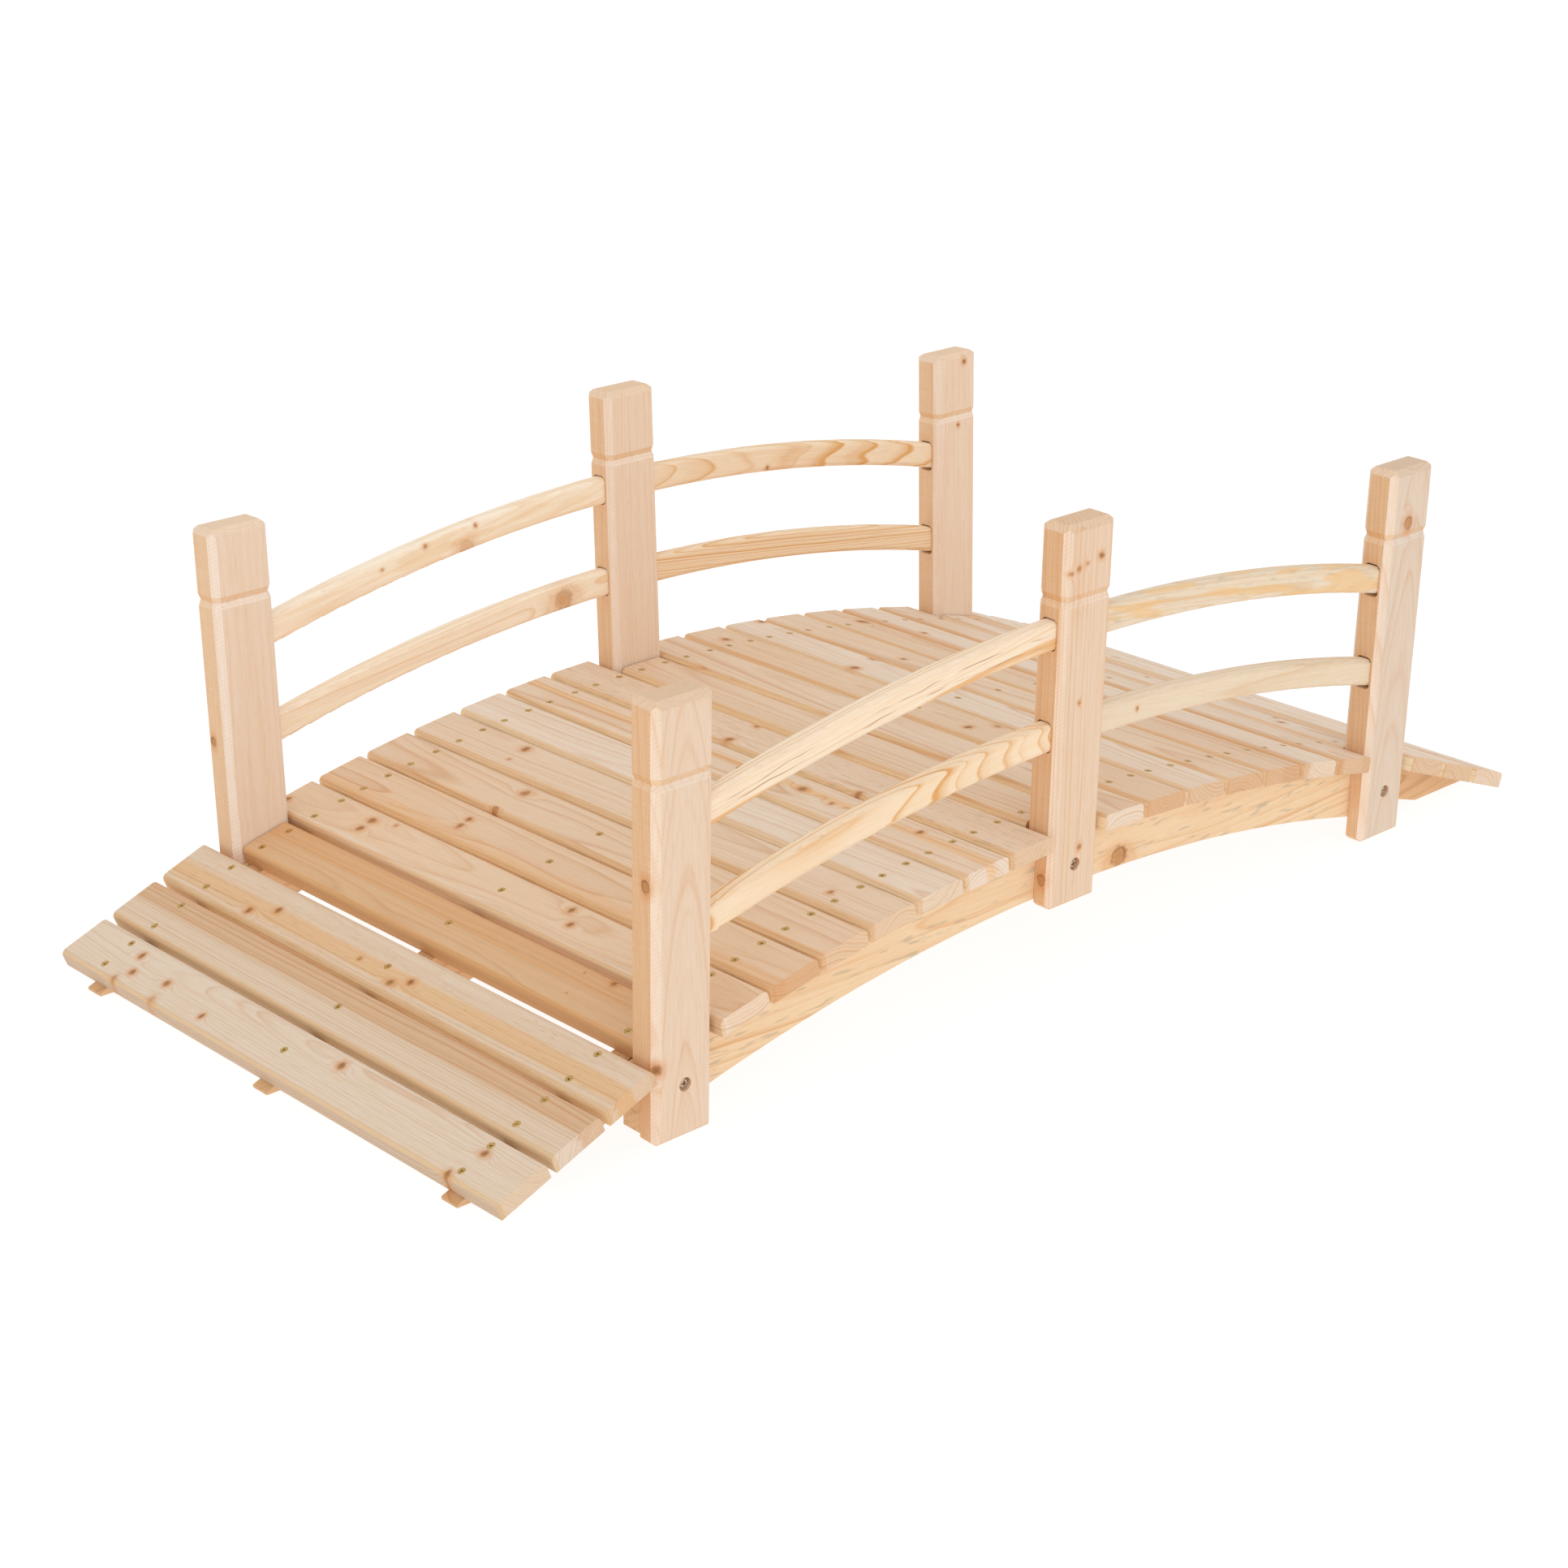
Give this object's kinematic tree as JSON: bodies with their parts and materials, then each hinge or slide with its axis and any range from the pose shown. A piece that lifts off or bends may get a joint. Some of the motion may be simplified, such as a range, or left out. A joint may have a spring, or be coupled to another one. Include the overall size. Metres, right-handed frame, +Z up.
{
  "type": "garden moon bridge",
  "caption": "Small arched garden footbridge of bare softwood: plank deck with ramped ends, grooved posts and curved double rails on both sides.",
  "frame": {"origin": "on the ground, under the middle of the deck", "axes": "+X along the bridge, +Y across it, +Z up"},
  "size_m": [1.497, 0.723, 0.4866],
  "materials": {
    "deck_wood": "planed, unfinished",
    "post_wood": "planed, unfinished",
    "rail_wood": "planed, unfinished",
    "arch_wood": "planed, unfinished",
    "beam_wood": "planed, unfinished"
  },
  "bodies": {
    "root": {"stringer_near": "beam_wood", "stringer_mid": "beam_wood", "stringer_far": "beam_wood", "arch_near": "arch_wood", "arch_far": "arch_wood", "plank_01": "deck_wood", "plank_02": "deck_wood", "plank_03": "deck_wood", "plank_04": "deck_wood", "plank_05": "deck_wood", "plank_06": "deck_wood", "plank_07": "deck_wood", "plank_08": "deck_wood", "plank_09": "deck_wood", "plank_10": "deck_wood", "plank_11": "deck_wood", "plank_12": "deck_wood", "plank_13": "deck_wood", "plank_14": "deck_wood", "plank_15": "deck_wood", "plank_16": "deck_wood", "plank_17": "deck_wood", "plank_18": "deck_wood", "plank_19": "deck_wood", "plank_20": "deck_wood", "plank_21": "deck_wood", "plank_22": "deck_wood", "plank_23": "deck_wood", "post_near_left": "post_wood", "post_near_mid": "post_wood", "post_near_right": "post_wood", "post_far_left": "post_wood", "post_far_mid": "post_wood", "post_far_right": "post_wood", "rail_near_left_top": "rail_wood", "rail_near_left_low": "rail_wood", "rail_near_right_top": "rail_wood", "rail_near_right_low": "rail_wood", "rail_far_left_top": "rail_wood", "rail_far_left_low": "rail_wood", "rail_far_right_top": "rail_wood", "rail_far_right_low": "rail_wood"}
  },
  "joints": []
}
